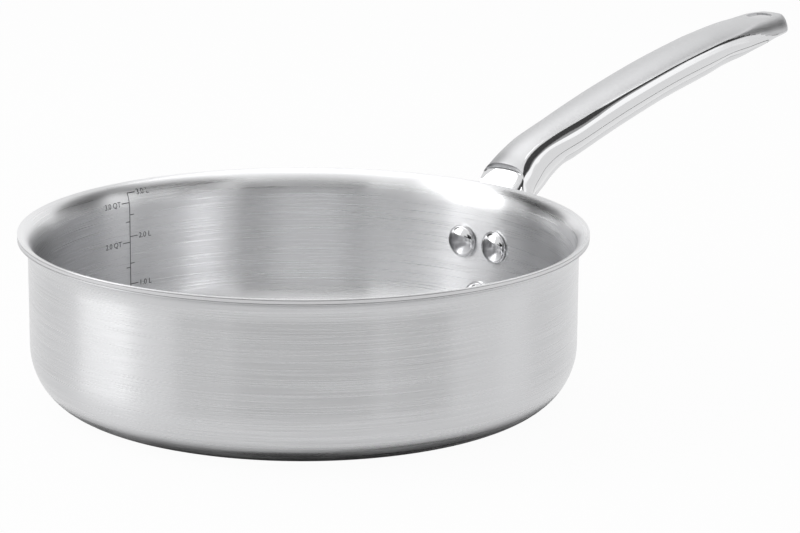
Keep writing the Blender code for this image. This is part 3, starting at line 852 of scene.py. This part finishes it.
above_seam = side_block(
    "above_seam",
    [(INSIDE_WALL, BLOCK_TOP), (INSIDE_WALL, LEDGE_HEIGHT + SEAM_GAP)] + upper_line
    + [(TAB_START + SEAM_GAP, upper_line[-1][1]), (TAB_START + SEAM_GAP, BLOCK_BOTTOM),
       (BLOCK_END, BLOCK_BOTTOM), (BLOCK_END, BLOCK_TOP)])
below_seam = side_block(
    "below_seam",
    [(0.0, BLOCK_BOTTOM), (0.0, LEDGE_HEIGHT), (INSIDE_WALL, LEDGE_HEIGHT)] + lower_line
    + [(TAB_START, lower_line[-1][1]), (TAB_START, BLOCK_BOTTOM)])
print("blocks of", len(above_seam.data.vertices), "and",
      len(below_seam.data.vertices), "corners")

# %% [markdown]
# Both shells start as the same whole skin. Every opening is cut while that skin
# is whole, and each shell keeps its side of the seam last, because openings that
# were cut in a shell already split came out wrong.

# %% Cut the shells
cut(shells["handle_top"], [wall_fit, scoop, grip_hollow, tab_hollow, hole_drill])
cut(shells["handle_top"], [above_seam], "INTERSECT")
cut(shells["handle_underside"], [wall_fit, scoop, grip_hollow] + drills)
cut(shells["handle_underside"], [below_seam], "INTERSECT")
scrap([above_seam, below_seam, wall_fit, scoop, grip_hollow, tab_hollow, hole_drill]
      + drills)
for name, shell in shells.items():
    print(name, len(shell.data.polygons), "faces")

# %% [markdown]
# ## The volume scale
# A laser marks the inner wall with a scale, in litres on its right and quarts on
# its left. Each mark and number is made flat, a few hundredths of a millimetre
# thick, and then wrapped on the inner skin at its angle and height.

# %% Wrap on the inner skin
SCALE_ANGLE = math.radians(87.75)
MARK_THICKNESS = 0.00004
MARK_LIFT = 0.00005     # keeps a mark off the facets of the wall


def wrap(piece):
    """Bend a piece drawn flat, with x to the right and y as height, on the skin."""
    for vertex in piece.data.vertices:
        across, height, thick = vertex.co
        radius = skin_radius(SHEET, height)
        angle = SCALE_ANGLE - across / radius
        radius -= MARK_LIFT + thick
        vertex.co = (radius * math.cos(angle), radius * math.sin(angle), height)


print("inner radius at 50 mm", round(skin_radius(SHEET, 0.05), 4))

# %% Marks and numbers
LINE_WIDTH = 0.00042
SCALE_LOW, SCALE_HIGH = 0.0295, 0.0823
LONG_TICK, SHORT_TICK = 0.0052, 0.0028
LETTER_SIZE = 0.0042
LETTER_MIDDLE = 0.36    # height of a letter's middle for 1 of its size
LETTER_GAP = 0.0008     # between a long mark and its number
LETTER_CURVE_STEPS = 4
TALL_BAR = 0.01         # bars taller than this are cut to follow the flare
TALL_BAR_CUTS = 40
BAR_CUTS = 6
# height, side (1 right, -1 left), text or nothing for a short mark
SCALE = [
    (0.0823, 1, "3.0 L"), (0.0705, 1, ""), (0.0584, 1, "2.0 L"),
    (0.0435, 1, ""), (0.0319, 1, "1.0 L"),
    (0.0773, -1, "3.0 QT"), (0.0667, -1, ""), (0.0553, -1, "2.0 QT"),
    (0.0413, -1, ""), (0.0295, -1, "1.0 QT"),
]


def bar(left, right, low, high):
    """Thin flat bar with enough cuts to follow the skin."""
    deselect()
    up_cuts = TALL_BAR_CUTS if high - low > TALL_BAR else 1
    bpy.ops.mesh.primitive_grid_add(x_subdivisions=BAR_CUTS, y_subdivisions=up_cuts,
                                    size=1.0)
    piece = bpy.context.object
    for vertex in piece.data.vertices:
        vertex.co.x = left + (vertex.co.x + 0.5) * (right - left)
        vertex.co.y = low + (vertex.co.y + 0.5) * (high - low)
    open_mesh()
    bpy.ops.mesh.extrude_region_move(
        TRANSFORM_OT_translate={"value": (0.0, 0.0, MARK_THICKNESS)})
    close_mesh()
    wrap(piece)
    return piece


def number(words, height, side, reach):
    """Number beside a mark, as a thin mesh on the skin."""
    deselect()
    bpy.ops.object.text_add()
    text = bpy.context.object
    text.data.body = words
    text.data.size = LETTER_SIZE
    text.data.extrude = MARK_THICKNESS / 2
    text.data.resolution_u = LETTER_CURVE_STEPS
    text.data.align_x = "LEFT" if side > 0 else "RIGHT"
    bpy.ops.object.convert(target="MESH")
    text = bpy.context.object
    for vertex in text.data.vertices:
        vertex.co.x += side * (reach + LETTER_GAP)
        vertex.co.y += height - LETTER_MIDDLE * LETTER_SIZE
        vertex.co.z += MARK_THICKNESS / 2
    wrap(text)
    return text


print(sum(1 for height, side, words in SCALE if words), "numbers on the scale")

# %% Join the scale
marks = [bar(-LINE_WIDTH / 2, LINE_WIDTH / 2, SCALE_LOW, SCALE_HIGH)]
for height, side, words in SCALE:
    reach = LONG_TICK if words else SHORT_TICK
    ends = sorted((0.0, side * reach))
    marks.append(bar(*ends, height - LINE_WIDTH / 2, height + LINE_WIDTH / 2))
    if words:
        marks.append(number(words, height, side, reach))
deselect()
for mark in marks:
    mark.select_set(True)
bpy.context.view_layer.objects.active = marks[0]
bpy.ops.object.join()
volume_scale = bpy.context.object
volume_scale.name = "volume_scale"
open_mesh()
close_mesh()
print("scale of", len(volume_scale.data.polygons), "faces")

# %% [markdown]
# ## Finishes
# The body is brushed round and round on a wheel, so its scratches run level and
# its reflections smear up and down. Very long, thin noise is the scratch
# pattern. It shakes the roughness and the bump a little and leaves the colour.
# The anisotropic shader does the smearing, turned so that it runs up the wall.

# %% Metal and its scratches
SMEAR_TURN = 0.25       # a quarter turn, from along the brushing to across it
NOISE_DETAIL = 3.0
NOISE_LOW, NOISE_HIGH = 0.3, 0.7    # the noise seldom leaves this range


def steel(name, tone, roughness, smear=0.0):
    """A metal material with its shader ready for a pattern."""
    material = bpy.data.materials.new(name)
    material.use_nodes = True
    shader = material.node_tree.nodes["Principled BSDF"]
    shader.inputs["Base Color"].default_value = (*tone, 1.0)
    shader.inputs["Metallic"].default_value = 1.0
    shader.inputs["Roughness"].default_value = roughness
    shader.inputs["Anisotropic"].default_value = smear
    shader.inputs["Anisotropic Rotation"].default_value = SMEAR_TURN if smear else 0.0
    return material


def scratches(material, stretch, roughness, spread, depth):
    """Shake roughness and bump with noise stretched along the brushing."""
    nodes, links = material.node_tree.nodes, material.node_tree.links
    shader = nodes["Principled BSDF"]
    noise = nodes.new("ShaderNodeTexNoise")
    noise.inputs["Scale"].default_value = 1.0
    noise.inputs["Detail"].default_value = NOISE_DETAIL
    links.new(stretch, noise.inputs["Vector"])
    rough = nodes.new("ShaderNodeMapRange")
    rough.inputs["From Min"].default_value = NOISE_LOW
    rough.inputs["From Max"].default_value = NOISE_HIGH
    rough.inputs["To Min"].default_value = roughness - spread
    rough.inputs["To Max"].default_value = roughness + spread
    links.new(noise.outputs[0], rough.inputs["Value"])
    links.new(rough.outputs[0], shader.inputs["Roughness"])
    bump = nodes.new("ShaderNodeBump")
    bump.inputs["Strength"].default_value = 1.0
    bump.inputs["Distance"].default_value = depth
    links.new(noise.outputs[0], bump.inputs["Height"])
    links.new(bump.outputs[0], shader.inputs["Normal"])


print("scratches are noise between", NOISE_LOW, "and", NOISE_HIGH)

# %% Scratches round the pan
def round_stretch(material, along, across):
    """Coordinates long round the upright axis and fine across it."""
    nodes, links = material.node_tree.nodes, material.node_tree.links
    place = nodes.new("ShaderNodeTexCoord")
    parts = nodes.new("ShaderNodeSeparateXYZ")
    links.new(place.outputs["Object"], parts.inputs[0])
    flat = nodes.new("ShaderNodeCombineXYZ")
    links.new(parts.outputs["X"], flat.inputs["X"])
    links.new(parts.outputs["Y"], flat.inputs["Y"])
    radius = nodes.new("ShaderNodeVectorMath")
    radius.operation = "LENGTH"
    links.new(flat.outputs[0], radius.inputs[0])
    reach = nodes.new("ShaderNodeMath")
    reach.operation = "SUBTRACT"
    links.new(radius.outputs["Value"], reach.inputs[0])
    links.new(parts.outputs["Z"], reach.inputs[1])
    fine = nodes.new("ShaderNodeMath")
    fine.operation = "MULTIPLY"
    fine.inputs[1].default_value = across
    links.new(reach.outputs[0], fine.inputs[0])
    long = nodes.new("ShaderNodeVectorMath")
    long.operation = "SCALE"
    long.inputs["Scale"].default_value = along
    links.new(flat.outputs[0], long.inputs[0])
    split = nodes.new("ShaderNodeSeparateXYZ")
    links.new(long.outputs[0], split.inputs[0])
    joined = nodes.new("ShaderNodeCombineXYZ")
    links.new(split.outputs["X"], joined.inputs["X"])
    links.new(split.outputs["Y"], joined.inputs["Y"])
    links.new(fine.outputs[0], joined.inputs["Z"])
    return joined.outputs[0]


def upright_smear(material):
    """Let the reflections run across the brushing, up the wall."""
    nodes, links = material.node_tree.nodes, material.node_tree.links
    tangent = nodes.new("ShaderNodeTangent")
    tangent.direction_type = "RADIAL"
    tangent.axis = "Z"
    links.new(tangent.outputs[0], nodes["Principled BSDF"].inputs["Tangent"])


print("round stretch ready")

# %% Pan finishes
PAN_ROUGHNESS = 0.30
# name, tone, smear, scale of the scratches along and across, how much they
# shake the roughness, their depth
PAN_FINISHES = [
    ("brushed_steel_outside", (0.62, 0.622, 0.632), 0.95, 14.0, 3000.0, 0.06, 0.000004),
    # the inside skin is the same steel as the outside; its lighter tone is painted
    # light, which brightens the inner wall
    ("brushed_steel_inside_painted_lighter", (0.79, 0.792, 0.802), 0.95, 14.0, 3000.0, 0.06, 0.000004),
    ("cut_aluminium", (0.64, 0.64, 0.65), 0.0, 40.0, 5000.0, 0.05, 0.000003),
]

finishes = {}
for name, tone, smear, along, across, spread, depth in PAN_FINISHES:
    finish = steel(name, tone, PAN_ROUGHNESS, smear)
    scratches(finish, round_stretch(finish, along, across), PAN_ROUGHNESS, spread, depth)
    if smear:
        upright_smear(finish)
    finishes[name] = finish
print(len(finishes), "pan finishes")

# %% [markdown]
# The handle is polished, its top is brushed lengthwise to a satin, and the rivets
# are turned and polished. Their scratches are finer, so they stay bright.

# %% Handle and rivet steel
def long_stretch(material, along, across):
    """Coordinates long in the direction of the handle and fine across it."""
    nodes, links = material.node_tree.nodes, material.node_tree.links
    place = nodes.new("ShaderNodeTexCoord")
    mapping = nodes.new("ShaderNodeMapping")
    mapping.inputs["Scale"].default_value = (along, across, across)
    links.new(place.outputs["Object"], mapping.inputs["Vector"])
    return mapping.outputs[0]


# name, tone, roughness, scale of the scratches along and across, how much they
# shake the roughness, their depth
HANDLE_FINISHES = [
    ("polished_steel_handle", (0.68, 0.682, 0.69), 0.10, 30.0, 2500.0, 0.03, 0.000001),
    ("satin_steel_handle_top", (0.58, 0.582, 0.59), 0.50, 30.0, 2500.0, 0.05, 0.000002),
    ("polished_steel_rivet", (0.68, 0.682, 0.69), 0.12, 900.0, 900.0, 0.03, 0.000001),
]

for name, tone, roughness, along, across, spread, depth in HANDLE_FINISHES:
    finish = steel(name, tone, roughness)
    scratches(finish, long_stretch(finish, along, across), roughness, spread, depth)
    finishes[name] = finish
print(len(finishes), "metal finishes")

# %% [markdown]
# The scale is burnt by a laser, which leaves a dark, matt and slightly speckled
# oxide. Fine noise between two dark tones gives the speckle.

# %% Laser mark
MARK_ROUGHNESS = 0.6
MARK_SPECKLE = 4000.0
MARK_DARK = (0.015, 0.015, 0.017, 1.0)
MARK_PALE = (0.09, 0.09, 0.095, 1.0)

laser_mark = bpy.data.materials.new("laser_mark")
laser_mark.use_nodes = True
nodes, links = laser_mark.node_tree.nodes, laser_mark.node_tree.links
nodes["Principled BSDF"].inputs["Roughness"].default_value = MARK_ROUGHNESS
speckle = nodes.new("ShaderNodeTexNoise")
speckle.inputs["Scale"].default_value = MARK_SPECKLE
tones = nodes.new("ShaderNodeValToRGB")
tones.color_ramp.elements[0].color = MARK_DARK
tones.color_ramp.elements[1].color = MARK_PALE
place = nodes.new("ShaderNodeTexCoord")
links.new(place.outputs["Object"], speckle.inputs["Vector"])
links.new(speckle.outputs[0], tones.inputs[0])
links.new(tones.outputs[0], nodes["Principled BSDF"].inputs["Base Color"])
print("laser mark made")

# %% [markdown]
# ## Hand over the pieces
# Each piece is shaded smooth up to a sharp angle, gets its finish, and is tied
# to the imported model: it rides on the body and stands for its node.

# %% Finish and tie
SHARP = math.radians(32)        # edges that bend more than this stay sharp


def hand_over(piece, node, slot, *looks):
    """Shade a piece, give its material slots their finishes, and tie it."""
    deselect()
    piece.select_set(True)
    bpy.context.view_layer.objects.active = piece
    bpy.ops.object.shade_smooth_by_angle(angle=SHARP)
    while len(piece.data.materials) < len(looks):
        piece.data.materials.append(None)
    for index, look in enumerate(looks):
        piece.data.materials[index] = look
    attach(piece, "root")
    if node:
        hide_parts(node)


handle_pair = (finishes["polished_steel_handle"], finishes["satin_steel_handle_top"])
hand_over(layers["pan_outside_skin"], "pan_outer_ply", "pan_outside",
          finishes["brushed_steel_outside"])
hand_over(layers["pan_middle_layer"], "pan_core", "pan_core",
          finishes["cut_aluminium"])
hand_over(layers["pan_inside_skin"], "pan_inner_ply", "pan_inside",
          finishes["brushed_steel_inside_painted_lighter"])
hand_over(shells["handle_top"], "handle_upper_shell", "handle_top", *handle_pair)
hand_over(shells["handle_underside"], "handle_lower_shell", "handle_underside",
          *handle_pair)
for name, node, height, side in RIVETS:
    hand_over(rivets[name], node, "rivets", finishes["polished_steel_rivet"])
hand_over(volume_scale, None, "pan_inside", laser_mark)
